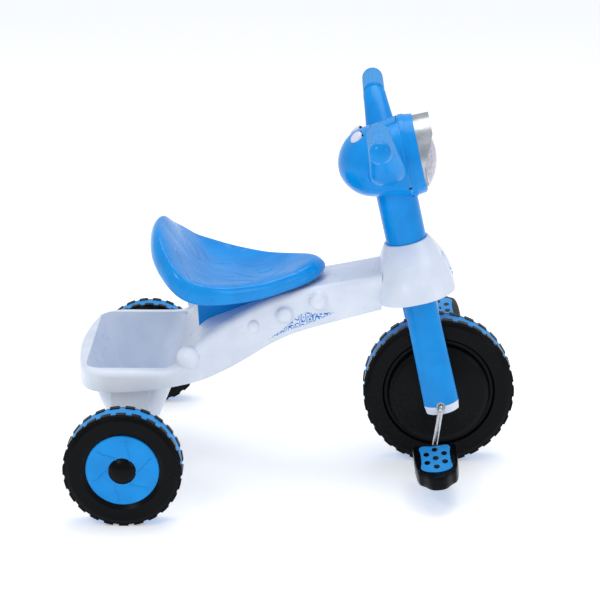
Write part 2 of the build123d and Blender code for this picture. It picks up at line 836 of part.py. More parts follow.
battery_radius = 7.2
battery_length = 50.0
battery_plane = Plane(
    origin=head_centre - forward * 14 - upward * 24, x_dir=(0, 1, 0), z_dir=upward
)
with BuildPart() as battery_tray:
    with BuildSketch(battery_plane):
        RectangleRounded(battery_length + 10, 4 * battery_radius + 6, 3)
    extrude(amount=14)
    with BuildSketch(battery_plane.offset(2)):
        Rectangle(battery_length + 4, 4 * battery_radius + 2)
    extrude(amount=14, mode=Mode.SUBTRACT)
save(battery_tray, "battery_tray")

with BuildPart() as batteries:
    for row in (-1, 1):
        centre = battery_plane.from_local_coords(
            Vector(0, row * (battery_radius + 0.2), battery_radius + 2.2)
        )
        with BuildSketch(Plane(origin=centre + Vector(0, -battery_length / 2, 0), z_dir=(0, 1, 0))):
            Circle(battery_radius)
        extrude(amount=battery_length)
save(batteries, "batteries")

for name in sides:
    with BuildPart() as button:
        with BuildSketch(button_plane(name).offset(-7)):
            Circle(button_radius)
        extrude(amount=10)
        fillet(button.faces().sort_by(Axis(head_centre, button_plane(name).z_dir))[-1].edges(), 2.2)
    save(button, f"{name}_button")
    with BuildPart() as button_switch:
        with BuildSketch(button_plane(name).offset(-15)):
            Rectangle(12, 12)
        extrude(amount=5)
    save(button_switch, f"{name}_button_switch")

# ---- Handlebar arms, grips and their screws --------------------------------------------------
# stations: distance from the middle, height, half length fore and aft, half height
arm_stations = [
    (52, 346, 27, 20, 50),
    (78, 366, 23, 17, 45),
    (105, 396, 18.5, 16, 48),
    (grip_inner, grip_height, grip_radius, grip_radius, 90),
]
grip_shift = -4.0
for name, side in sides.items():
    with BuildPart() as arm:
        for across, height, half_long, half_high, lay in arm_stations:
            centre = steering.from_local_coords(
                Vector(grip_shift, side * across, height)
            )
            outward = Vector(0, side * sin(radians(lay)), 0) + upward * cos(radians(lay))
            with BuildSketch(Plane(origin=centre, x_dir=forward, z_dir=outward)):
                Ellipse(half_long, half_high)
        loft()
        end_plane = Plane(
            origin=steering.from_local_coords(Vector(grip_shift, side * grip_inner, grip_height)),
            z_dir=(0, side, 0),
        )
        with BuildSketch(end_plane):
            Circle(grip_radius - 3)
        extrude(amount=grip_outer - grip_inner)
        with BuildSketch(end_plane.offset(grip_outer - grip_inner)):
            Circle(grip_radius)
        extrude(amount=grip_radius - 1)
        fillet(arm.faces().sort_by(Axis.Y)[-1 if side > 0 else 0].edges(), grip_radius - 3)
        add(ball_outside, mode=Mode.SUBTRACT)
    save(arm, f"{name}_handlebar")
    with BuildPart() as grip:
        with BuildSketch(end_plane.offset(0.1)):
            Circle(grip_radius - 0.4)
            with PolarLocations(grip_radius - 0.4, 24):
                Circle(0.9)
            Circle(grip_radius - 2.9, mode=Mode.SUBTRACT)
        extrude(amount=grip_outer - grip_inner - 0.2)
    save(grip, f"{name}_grip")


# ---- Screws of the head and the handlebar ------------------------------------------------------
def screw_on_ball(along, across, below, head, length):
    """A countersunk screw in the ball's skin, pointing at its middle."""
    up = sqrt(head_radius**2 - along**2 - across**2)
    outward = forward * along + Vector(0, across, 0) + upward * (-up if below else up)
    seat_plane = Plane(origin=head_centre + outward, z_dir=outward)
    with BuildPart() as screw:
        with BuildSketch(seat_plane.offset(-0.6)):
            Circle(head)
        extrude(amount=1.4)
        with BuildSketch(seat_plane.offset(-0.6)):
            Circle(0.55 * head)
        extrude(amount=-length)
    return screw.part


with BuildPart() as head_screws:
    for side in sides.values():
        add(screw_on_ball(14, side * 57, True, 3, 9))
        add(screw_on_ball(-52, side * 30, True, 3, 9))
save(head_screws, "head_screws")

with BuildPart() as handlebar_screws:
    for side in sides.values():
        add(screw_on_ball(-44, side * 51, True, 2.4, 7))
        add(screw_on_ball(4, side * 45, True, 2.4, 7))
save(handlebar_screws, "handlebar_screws")

# ---- Wheels ------------------------------------------------------------------------------------
tread_depth = lug_height + groove_depth
lug_reach = 3.8  # how far a lug reaches into the band
shoulder_chamfer = 3.5


def crosswise(centre, side, distance):
    """A plane square to the axle at a distance outboard of the wheel's middle."""
    origin = (centre[0], centre[1] + side * distance, centre[2])
    return Plane(origin=origin, x_dir=(1, 0, 0), z_dir=(0, side, 0))


def lug_pattern(plane, radius, lugs, side, margin):
    """The tread lugs of one side in profile; the two sides are half a step apart."""
    pitch = 360 / lugs
    start = pitch / 2 if side > 0 else 0
    with BuildSketch(plane) as pattern:
        with PolarLocations(radius - tread_depth / 2, lugs, start_angle=start):
            Rectangle(tread_depth + wall, lug_width_share * radians(pitch) * radius + 2 * margin)
        Circle(radius, mode=Mode.INTERSECT)
    return pattern.sketch


def wheel_half(centre, side, radius, half_width, band_half, lugs, bore, face):
    """One moulded half of a wheel. face holds (distance outboard, radius) down to the hub."""
    base = radius - tread_depth
    shoulder = radius - lug_height
    shoulder_end = half_width - shoulder_chamfer
    outline = [
        (0, base),
        (band_half + 0.1, base),
        (band_half + 0.1, shoulder),
        (shoulder_end, shoulder),
        (half_width, shoulder - 2 * shoulder_chamfer),
    ] + face
    skin = [(0, base - wall), (half_width - wall, base - wall)]
    skin += [(x - wall, r) for x, r in face[:-1]]
    hub_end = face[-1][0]
    with BuildPart() as half:
        with BuildSketch(Plane(origin=centre, x_dir=(0, side, 0), z_dir=(side, 0, 0))):
            with BuildLine():
                Polyline(
                    *outline,
                    (hub_end, bore),
                    (0, bore),
                    (0, bore + 5),
                    (skin[-1][0], bore + 5),
                    *reversed(skin),
                    close=True,
                )
            make_face()
        revolve(axis=Axis(centre, (0, 1, 0)))
        lug_start = band_half - lug_reach
        plane = crosswise(centre, side, lug_start)
        lug_length = shoulder_end + 1 - lug_start
        extrude(lug_pattern(plane, radius, lugs, side, 0), amount=lug_length)
    return half


def tread_band(centre, radius, band_half, lugs):
    """The coloured band in the groove between the shoulders, notched round each lug."""
    low = radius - tread_depth + 0.05
    high = radius - band_radius_drop
    with BuildPart() as band:
        with BuildSketch(crosswise(centre, 1, -band_half)):
            Circle(high)
            Circle(low, mode=Mode.SUBTRACT)
        extrude(amount=2 * band_half)
        for side in sides.values():
            plane = crosswise(centre, side, band_half - lug_reach - 0.1)
            notches = lug_pattern(plane, radius, lugs, side, 0.15)
            extrude(notches, amount=2 * lug_reach, mode=Mode.SUBTRACT)
    return band


rear_band_half = 12.4
front_band_half = 13.8
disc_seat = 13.8
disc_face = disc_seat + 5.2
hubcap_height = 8.0
hubcap_wall = 2.0
hubcap_curve = (hubcap_radius**2 + hubcap_height**2) / (2 * hubcap_height)
rear_outer_face = [
    (rear_half_width, rear_wheel_radius - 14),
    (rear_half_width, disc_radius + 6),
    (disc_seat + 2, disc_radius + 0.4),
    (disc_seat, disc_radius + 0.4),
    (disc_seat, 12.5),
    (rear_half_width + 0.5, 11),
]
rear_inner_face = [
    (rear_half_width, rear_wheel_radius - 14),
    (rear_half_width, disc_radius + 6),
    (disc_seat, disc_radius),
    (disc_seat, 12.5),
    (rear_half_width, 11),
]
for name, side in sides.items():
    centre = (rear_axle_x, side * rear_half_track, rear_wheel_radius)
    bore = axle_radius + running_fit
    size = (rear_wheel_radius, rear_half_width, rear_band_half, rear_lugs, bore)
    outer = wheel_half(centre, side, *size, rear_outer_face)
    save(outer, f"{name}_rear_wheel_outer")
    inner = wheel_half(centre, -side, *size, rear_inner_face)
    save(inner, f"{name}_rear_wheel_inner")
    band = tread_band(centre, rear_wheel_radius, rear_band_half, rear_lugs)
    save(band, f"{name}_rear_tread_band")
    section = Plane(origin=centre, x_dir=(0, side, 0), z_dir=(side, 0, 0))
    axis = Axis(centre, (0, 1, 0))
    with BuildPart() as disc:
        with BuildSketch(section):
            with BuildLine():
                Polyline(
                    (disc_seat, 13),
                    (disc_seat, disc_radius),
                    (disc_seat + 2.6, disc_radius),
                    (disc_seat + 4.4, disc_radius - 14),
                    (disc_face, 22),
                    (disc_face, 13),
                    close=True,
                )
            make_face()
        revolve(axis=axis)
    save(disc, f"{name}_wheel_disc")
    with BuildPart() as hubcap:
        with BuildSketch(section):
            with BuildLine():
                tip = disc_face + hubcap_height
                inner = hubcap_curve - hubcap_wall
                inner_rim = sqrt(inner**2 - (hubcap_curve - hubcap_height) ** 2)
                outside = RadiusArc((disc_face, hubcap_radius), (tip, 0), hubcap_curve)
                inside = RadiusArc((tip - hubcap_wall, 0), (disc_face, inner_rim), -inner)
                Line(outside @ 1, inside @ 0)
                Line(inside @ 1, outside @ 0)
            make_face()
        revolve(axis=axis)
    save(hubcap, f"{name}_hubcap")

front_hub_reach = leg_inner_low - 3
front_face = [
    (front_half_width, front_wheel_radius - 15),
    (front_half_width, front_wheel_radius - 28),
    (front_half_width - 3.5, front_wheel_radius - 31),
    (front_half_width - 3.5, front_wheel_radius - 35),
    (front_half_width + 5, front_wheel_radius - 38),
    (front_half_width + 8, front_wheel_radius - 44),
    (front_half_width + 17, 24),
    (front_hub_reach, 15),
]
for name, side in sides.items():
    half = wheel_half(
        axle_centre,
        side,
        front_wheel_radius,
        front_half_width,
        front_band_half,
        front_lugs,
        rod_radius + bush_fit,
        front_face,
    )
    save(half, f"front_wheel_{name}")
front_band = tread_band(axle_centre, front_wheel_radius, front_band_half, front_lugs)
save(front_band, "front_tread_band")

# ---- Crank rod and pedals ------------------------------------------------------------------------
turn = radians(crank_angle)
crank_drop = Vector(-sin(turn), 0, -cos(turn)) * crank_length
spindle_end = crank_offset + crank_bend + 1.5 + pedal_length - 16


def on_crank(side, distance, turned):
    """A point on the crank rod: on the axle line, or swung out to the pedal's spindle."""
    swing = crank_drop * -side if turned else Vector(0, 0, 0)
    return Vector(*axle_centre) + swing + Vector(0, side * distance, 0)


with BuildPart() as crank_rod:
    with BuildLine() as route:
        FilletPolyline(
            on_crank(-1, spindle_end, True),
            on_crank(-1, crank_offset, True),
            on_crank(-1, crank_offset, False),
            on_crank(1, crank_offset, False),
            on_crank(1, crank_offset, True),
            on_crank(1, spindle_end, True),
            radius=crank_bend,
        )
    with BuildSketch(Plane(origin=route.line @ 0, z_dir=route.line % 0)):
        Circle(rod_radius)
    sweep()
save(crank_rod, "crank_rod")

wheel_lock_washers = on_both_sides(
    front_hub_reach + 0.2, front_hub_reach + 1.4, 10, rod_radius + bush_fit, axle_centre
)
save(wheel_lock_washers, "wheel_lock_washers")

tilt = radians(pedal_tilt)
pedal_inner = crank_offset + crank_bend + 1.5
pedal_bulge = 20.0
pad_width = 48.0
pad_length = 98.0
pad_corner = 9.0
pad_inner = pedal_inner + 3
for name, side in sides.items():
    spindle = on_crank(side, 0, True)
    flat = Plane(
        origin=spindle,
        x_dir=(cos(tilt), 0, sin(tilt)),
        z_dir=(-sin(tilt), 0, cos(tilt)),
    )
    pad_centre = (0, side * (pad_inner + pad_length / 2))
    with BuildPart() as pedal:
        with BuildSketch(flat.offset(-pedal_thickness / 2)):
            with BuildLine():
                shoulder = side * (pedal_inner + pedal_length - pedal_bulge)
                arc = ThreePointArc(
                    (-pedal_width / 2, shoulder),
                    (0, shoulder + side * pedal_bulge),
                    (pedal_width / 2, shoulder),
                )
                Polyline(
                    arc @ 1,
                    (pedal_width / 2, side * pedal_inner),
                    (-pedal_width / 2, side * pedal_inner),
                    arc @ 0,
                )
            make_face()
        extrude(amount=pedal_thickness)
        fillet(pedal.edges().filter_by(Axis(spindle, flat.z_dir)), 7)
        for level, way in ((pedal_thickness / 2, -1), (-pedal_thickness / 2, 1)):
            with BuildSketch(flat.offset(level)):
                with Locations(pad_centre):
                    RectangleRounded(pad_width, pad_length, pad_corner)
            extrude(amount=way * pad_thickness, mode=Mode.SUBTRACT)
        with Locations(Location(Vector(*spindle) + Vector(0, side * spindle_end / 2, 0), (90, 0, 0))):
            Cylinder(rod_radius + running_fit, spindle_end + 4, mode=Mode.SUBTRACT)
    save(pedal, f"{name}_pedal")
    for place, level, way in (
        ("top", pedal_thickness / 2, -1),
        ("bottom", -pedal_thickness / 2, 1),
    ):
        with BuildPart() as pad:
            with BuildSketch(flat.offset(level)):
                with Locations(pad_centre):
                    RectangleRounded(pad_width - 0.2, pad_length - 0.2, pad_corner)
                    with Locations((0, 0), (0, 34), (0, -34), (12, 17), (12, -17), (-12, 17), (-12, -17)):
                        Ellipse(4.2, 8, mode=Mode.SUBTRACT)
            extrude(amount=way * pad_thickness)
        save(pad, f"{name}_pedal_pad_{place}")

# ---- Badge on the front of the dome ----------------------------------------------------------------
badge_plane = Plane(
    origin=steering.from_local_coords(Vector(dome_half_length + 6, 0, dome_rim + 24)),
    x_dir=(0, 1, 0),
    z_dir=forward,
)
with BuildPart() as front_badge:
    with BuildSketch(badge_plane):
        with BuildLine():
            Polyline((-17, 15), (17, 15), (17, 0), (0, -19), (-17, 0), close=True)
        make_face()
    extrude(amount=-30)
    add(dome_block(-0.8), mode=Mode.INTERSECT)
    add(dome_block(0), mode=Mode.SUBTRACT)
save(front_badge, "front_badge")
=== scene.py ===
import json
import math

import bmesh
import bpy
from mathutils import Euler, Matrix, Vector


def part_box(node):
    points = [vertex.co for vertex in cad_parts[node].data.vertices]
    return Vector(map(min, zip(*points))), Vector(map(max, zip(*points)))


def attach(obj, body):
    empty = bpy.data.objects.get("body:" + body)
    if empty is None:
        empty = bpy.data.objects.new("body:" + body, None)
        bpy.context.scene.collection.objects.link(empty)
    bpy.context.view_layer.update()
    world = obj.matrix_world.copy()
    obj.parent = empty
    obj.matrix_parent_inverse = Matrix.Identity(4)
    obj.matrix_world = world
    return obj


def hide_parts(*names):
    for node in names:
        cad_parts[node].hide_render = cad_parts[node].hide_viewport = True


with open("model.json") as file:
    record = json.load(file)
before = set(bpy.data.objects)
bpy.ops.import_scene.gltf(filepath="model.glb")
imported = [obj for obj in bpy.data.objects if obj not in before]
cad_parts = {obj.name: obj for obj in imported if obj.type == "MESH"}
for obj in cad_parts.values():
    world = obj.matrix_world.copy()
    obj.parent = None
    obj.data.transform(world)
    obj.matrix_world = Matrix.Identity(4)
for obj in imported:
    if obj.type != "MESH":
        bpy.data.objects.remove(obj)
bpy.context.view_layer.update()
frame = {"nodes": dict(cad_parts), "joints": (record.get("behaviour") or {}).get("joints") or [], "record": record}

# A children's tricycle in moulded plastic. Metres, +X forward, +Y the rider's left, +Z up.

MM = 0.001
nodes = frame["nodes"]
SIDES = {"left": 1, "right": -1}
# darkest and lightest tone of each moulded colour
WHITE = ("D6DFED", "E4EAF4")
BLUE = ("0086D6", "0595E6")


# ---- Places read from the frame ------------------------------------------------------------------
def middle(node):
    low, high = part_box(node)
    return (low + high) / 2


front_axle = middle("fork_bushes")
rear_axle = middle("rear_axle")
turning = next(j for j in frame["joints"] if j["name"] == "steering_turn")
UPWARD = Vector(turning["axis"]).normalized()
FORWARD = Vector((UPWARD.z, 0, -UPWARD.x))
ACROSS = Vector((0, 1, 0))
wheel_middle = {name: middle(f"{name}_rear_tread_band") for name in SIDES}
pedal_middle = {name: middle(f"{name}_pedal") for name in SIDES}


def steer(ahead, across, up):
    """A place in millimetres from the front axle, along and square to the steering axis."""
    return front_axle + (FORWARD * ahead + ACROSS * across + UPWARD * up) * MM


def from_rear(ahead, across, height):
    """A place in millimetres: ahead of the rear axle, left of the middle, above the floor."""
    return Vector((rear_axle.x + ahead * MM, across * MM, height * MM))


# ---- Node and colour helpers ---------------------------------------------------------------------
def linear(code):
    """An sRGB hex colour as linear RGBA."""
    parts = [int(code[i : i + 2], 16) / 255 for i in (0, 2, 4)]
    return tuple(p / 12.92 if p <= 0.04045 else ((p + 0.055) / 1.055) ** 2.4 for p in parts) + (1,)


def add(tree, kind, links=None, **settings):
    """A node with its settings, and its inputs given as values or as another node's output."""
    node = tree.nodes.new(kind)
    for key, value in settings.items():
        setattr(node, key, value)
    for key, source in (links or {}).items():
        if isinstance(source, bpy.types.NodeSocket):
            tree.links.new(source, node.inputs[key])
        else:
            node.inputs[key].default_value = source
    return node


def per(size_mm):
    """A texture scale whose features are about this many millimetres across."""
    return 1 / (size_mm * MM)


def new_material(name, links):
    """A material with one Principled shader; links gives the shader's constant inputs."""
    material = bpy.data.materials.new(name)
    material.use_nodes = True
    tree = material.node_tree
    tree.nodes.clear()
    shader = add(tree, "ShaderNodeBsdfPrincipled", links)
    add(tree, "ShaderNodeOutputMaterial", {"Surface": shader.outputs[0]})
    place = add(tree, "ShaderNodeTexCoord").outputs["Object"]
    return material, tree, shader, place


def tone(tree, factor, dark, light):
    """A colour between two hex colours by a factor."""
    mix = add(tree, "ShaderNodeMix", {0: factor, 6: linear(dark), 7: linear(light)}, data_type="RGBA")
    return mix.outputs[2]


def spread(tree, factor, low, high, start=0.3, stop=0.7):
    """A factor between two values, from the middle of a noise's range."""
    links = {"Value": factor, 1: start, 2: stop, 3: low, 4: high}
    return add(tree, "ShaderNodeMapRange", links).outputs[0]


def noise(tree, place, size_mm, detail=3.0, roughness=0.5):
    links = {"Vector": place, "Scale": per(size_mm), "Detail": detail, "Roughness": roughness}
    return add(tree, "ShaderNodeTexNoise", links).outputs[0]


def bump(tree, height, depth_mm, strength=1.0, below=None):
    links = {"Height": height, "Distance": depth_mm * MM, "Strength": strength}
    if below is not None:
        links["Normal"] = below
    return add(tree, "ShaderNodeBump", links).outputs[0]


def plug(tree, shader, **sources):
    """Links outputs to the shader's inputs, named with underscores for spaces."""
    for key, source in sources.items():
        tree.links.new(source, shader.inputs[key.replace("_", " ")])


def moulded(name, dark, light, gloss, grain_mm, grain_depth_mm, links=None):
    """Injection-moulded plastic: slow flow mottle, uneven gloss and a fine grain from the mould."""
    base = {"IOR": 1.49}
    base.update(links or {})
    material, tree, shader, place = new_material(name, base)
    flow = noise(tree, place, 38, 4)
    rub = noise(tree, place, 9, 5, 0.62)
    grain = noise(tree, place, grain_mm, 2)
    waviness = noise(tree, place, 14, 1)
    soft = bump(tree, waviness, 0.12)
    plug(
        tree,
        shader,
        Base_Color=tone(tree, spread(tree, flow, 0, 1), dark, light),
        Roughness=spread(tree, rub, *gloss),
        Normal=bump(tree, grain, grain_depth_mm, below=soft),
    )
    return material, tree, shader, place


# ---- Materials -----------------------------------------------------------------------------------
def make_materials():
    made = {}
    # Polypropylene, polished mould: milky white with a soft sheen and faint flow marks.
    made["white_plastic"] = moulded(
        "polypropylene_white_moulded", *WHITE, (0.26, 0.38), 0.7, 0.006, {"IOR": 1.5}
    )[0]
    # Polypropylene, polished mould: saturated sky blue, glossy, slightly wavy reflections.
    made["blue_plastic"] = moulded(
        "polypropylene_blue_moulded", *BLUE, (0.16, 0.28), 0.8, 0.006, {"Specular IOR Level": 0.24}
    )[0]
    # The same blue, textured mould: satin bands, grips and pedal pads.
    made["soft_blue_plastic"] = moulded(
        "polypropylene_blue_textured",
        "1A88D2",
        "2A97E0",
        (0.42, 0.56),
        0.55,
        0.02,
        {"Specular IOR Level": 0.3},
    )[0]
    # High-density polyethylene, blown: near black, satin, with paler scuffs in the grain.
    material, tree, shader, place = moulded(
        "polyethylene_black_blown",
        "040507",
        "08090B",
        (0.2, 0.34),
        0.6,
        0.012,
        {"Specular IOR Level": 0.1},
    )
    scuff = noise(tree, place, 5, 8, 0.75)
    wear = spread(tree, scuff, 0, 1, 0.66, 0.80)
    plug(tree, shader, Base_Color=tone(tree, wear, "050608", "141518"))
    made["black_plastic"] = material
    # Acetal, turned: off-white and waxy, with a fine even grain.
    made["acetal"] = moulded("acetal_natural_turned", "D6D5CC", "E6E5DE", (0.30, 0.42), 0.5, 0.01)[0]
    # Steel, zinc plated: bright grey with cloudy spangle and fine draw marks.
    material, tree, shader, place = new_material("steel_zinc_plated", {"Metallic": 1.0})
    stretch = add(tree, "ShaderNodeMapping", {"Vector": place, "Scale": (1, 0.05, 1)}).outputs[0]
    marks = noise(tree, stretch, 0.5, 3)
    clouds = noise(tree, place, 6, 4, 0.6)
    plug(
        tree,
        shader,
        Base_Color=tone(tree, spread(tree, clouds, 0, 1), "A9AAAC", "CFCFD0"),
        Roughness=spread(tree, clouds, 0.18, 0.34),
        Normal=bump(tree, marks, 0.01, 0.5),
    )
    made["zinc_steel"] = material
    # ABS, vacuum metallised: mirror bright, faintly wavy, with hairline wiping marks.
    material, tree, shader, place = new_material("abs_vacuum_metallised", {"Metallic": 1.0})
    waves = noise(tree, place, 16, 2)
    wiping = noise(tree, place, 2.2, 6, 0.7)
    plug(
        tree,
        shader,
        Base_Color=tone(tree, spread(tree, waves, 0, 1), "A4A9AF", "BDC1C6"),
        Roughness=spread(tree, wiping, 0.24, 0.40),
        Normal=bump(tree, waves, 0.35),
    )
    made["plated_plastic"] = material
    # Polystyrene lens, moulded facets on the inside: milky, breaks light into cells.
    links = {"Transmission Weight": 0.45, "IOR": 1.45, "Coat Weight": 0.4, "Coat Roughness": 0.08}
    material, tree, shader, place = new_material("polystyrene_faceted_lens", links)
    cells = add(tree, "ShaderNodeTexVoronoi", {"Vector": place, "Scale": per(6.5)})
    haze = noise(tree, place, 11, 3)
    plug(
        tree,
        shader,
        Base_Color=tone(tree, cells.outputs["Distance"], "F2F1FA", "C9C8D8"),
        Roughness=spread(tree, haze, 0.22, 0.42),
        Normal=bump(tree, cells.outputs["Distance"], 0.9),
    )
    made["clear_lens"] = material
    # Steel screws, blackened: dull, deep in their recesses.
    material, tree, shader, place = new_material("steel_screws_blackened", {"Metallic": 1.0})
    oxide = noise(tree, place, 1.5, 4)
    plug(
        tree,
        shader,
        Base_Color=tone(tree, spread(tree, oxide, 0, 1), "1E2022", "4A4C50"),
        Roughness=spread(tree, oxide, 0.35, 0.55),
    )
    made["screws"] = material
    # Painted shade: polypropylene blue darkened to a deep, dull blue, standing in for the shade that falls in a
    # joint line.
    made["seam"] = moulded(
        "painted_joint_shade", "06345F", "0A4075", (0.5, 0.6), 0.5, 0.004, {"Specular IOR Level": 0.1}
    )[0]
    # Epoxy, cast: the lamp's warm white drop.
    made["lamp_resin"] = moulded("epoxy_lamp_cast", "F0E8C8", "FBF5DC", (0.08, 0.16), 0.5, 0.003)[0]
    # Polypropylene, polished mould: the pale lilac-white push buttons.
    made["button_plastic"] = moulded(
        "polypropylene_button_moulded", "D3D1E6", "E4E2F0", (0.14, 0.24), 0.6, 0.004
    )[0]
    # Glass-fibre board, lacquered: green with copper traces under the lacquer.
    material, tree, shader, place = moulded(
        "glass_fibre_board_lacquered", "0B4A2A", "12633A", (0.22, 0.34), 0.4, 0.01
    )
    traces = add(tree, "ShaderNodeTexBrick", {"Vector": place, "Scale": per(5), "Mortar Size": 0.03})
    plug(tree, shader, Base_Color=tone(tree, traces.outputs["Fac"], "0E5431", "3D8A55"))
    made["board"] = material
    # Printed film on the cells: dark grey with a lighter band.
    material, tree, shader, place = moulded(
        "cell_sleeve_printed", "1B1D22", "24262C", (0.24, 0.34), 0.5, 0.004
    )
    bands = add(tree, "ShaderNodeTexWave", {"Vector": place, "Scale": per(60)}, bands_direction="Y")
    plug(tree, shader, Base_Color=tone(tree, bands.outputs[1], "1B1D22", "5C6068"))
    made["cell_sleeve"] = material
    # Printed film on the dome: generic stripes in pale and mid blue.
    material, tree, shader, place = moulded(
        "badge_printed_film", "CFE4F7", "E6F1FB", (0.2, 0.3), 0.5, 0.004
    )
    stripes = add(tree, "ShaderNodeTexWave", {"Vector": place, "Scale": per(26)}, bands_direction="Y")
    crisp = spread(tree, stripes.outputs[1], 0, 1, 0.45, 0.55)
    plug(tree, shader, Base_Color=tone(tree, crisp, "E8F2FC", "2F7FD0"))
    made["badge_print"] = material
    return made


MATERIALS = make_materials()
slot_of = {s["node"]: s["material_slot"] for s in frame["record"]["subparts"]}
for node_name, node in nodes.items():
    for holder in node.material_slots:
        kind = "screws" if node_name.endswith("screws") else slot_of[node_name]
        holder.material = MATERIALS[kind]


# ---- Mesh helpers --------------------------------------------------------------------------------
def finish_piece(name, mesh, slot, body, replaced=(), material=None, smooth=True):
    """Turns a bmesh into a named piece with its material, riding on a body."""
    bmesh.ops.remove_doubles(mesh, verts=mesh.verts, dist=0.01 * MM)
    bmesh.ops.recalc_face_normals(mesh, faces=mesh.faces)
    data = bpy.data.meshes.new(name)
    mesh.to_mesh(data)
    mesh.free()
    for face in data.polygons:
        face.use_smooth = smooth
    data.materials.append(material or MATERIALS[slot])
    piece = bpy.data.objects.new(name, data)
    bpy.context.scene.collection.objects.link(piece)
    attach(piece, body)
    if replaced:
        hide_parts(*replaced)
    return piece


def through(points, t):
    """A smooth curve through points (tuples of numbers), at t from 0 to 1."""
    spans = len(points) - 1
    at = min(max(t, 0), 1) * spans
    k = min(int(at), spans - 1)
    f = at - k
    rows = [points[min(max(k + j, 0), spans)] for j in (-1, 0, 1, 2)]
    out = []
    for a, b, c, d in zip(*rows):
        out.append(
            b + 0.5 * f * (c - a + f * (2 * a - 5 * b + 4 * c - d + f * (3 * (b - c) + d - a)))
        )
    return out


def loft(mesh, rings, segments, shape, caps=(True, True)):
    """Joins rings of points; shape(ring, angle) places each point of a ring."""
    loops = []
    for k in range(rings):
        made = bmesh.ops.create_circle(mesh, segments=segments, radius=1)["verts"]
        edges = list({e for v in made for e in v.link_edges})
        for v in made:
            v.co = shape(k, math.atan2(v.co.y, v.co.x))
        loops.append((made, edges))
    for (_, low), (_, high) in zip(loops, loops[1:]):
        bmesh.ops.bridge_loops(mesh, edges=low + high)
    for want, (made, edges) in zip(caps, (loops[0], loops[-1])):
        if want:
            bmesh.ops.holes_fill(mesh, edges=edges)
    return mesh


def subdivide(piece):
    """Smooths a piece by one level of subdivision."""
    levels = piece.modifiers.new("subdivide", "SUBSURF")
    levels.levels = 1
    levels.render_levels = 1


# ---- Saddle --------------------------------------------------------------------------------------
# half of the rim, from the back of the saddle to its nose: ahead, across, height
RIM = [
    (37, 0, 361),
    (38, 26, 360.5),
    (42, 57, 353.5),
    (52, 82, 338),
    (66, 105, 323),
    (84, 114, 309),
    (104, 115, 302),
    (130, 106, 296.5),
    (160, 91, 294),
    (188, 74, 294),
    (212, 57, 297.5),
    (234, 40, 302),
    (250, 21, 307),
    (255, 0, 308),
]
# the same stations on the skirt's lower edge
HEM = [
    (52, 0, 296),
    (52, 26, 295),
    (54, 56, 292),
    (60, 86, 287),
    (70, 110, 281.5),
    (86, 122, 277),
    (106, 123.5, 274),
    (134, 113, 271.5),
    (165, 97, 270.5),
    (194, 80, 272),
    (218, 63, 275),
    (243, 47, 279.5),
    (264, 27, 284),
    (272, 0, 286),
]
# the widest line of the rolled edge
ROLL = [
    (23.5, 0, 338),
    (24.5, 27, 335),
    (29, 59, 327),
    (41, 87, 314),
    (58, 112, 303),
    (80, 122, 295),
    (104, 123.6, 290),
    (134, 113.5, 286),
    (165, 97.5, 284),
    (194, 81, 285),
    (220, 64, 288),
    (245, 48, 293),
    (268, 27, 297),
    (276.5, 0, 298),
]
# the sitting surface along its middle: ahead, height
FLOOR_LINE = [(36, 352), (50, 326), (66, 307), (100, 286), (160, 279), (207, 283), (250, 298)]
DISH_MIDDLE = 140  # ahead of the rear axle
DISH_STEEPNESS = 3.2  # the dish stays low, then climbs to the rim
ROLL_SHARE = 0.4  # of the edge's height, above its widest line
SADDLE_WALL = 3.2


def floor_height(ahead):
    """Height of the saddle's sitting surface along its middle."""
    for (x0, z0), (x1, z1) in zip(FLOOR_LINE, FLOOR_LINE[1:]):
        if ahead <= x1:
            f = max(0, (ahead - x0) / (x1 - x0))
            f = f * f * (3 - 2 * f) * 0.4 + f * 0.6
            return z0 + f * (z1 - z0)
    return FLOOR_LINE[-1][1]


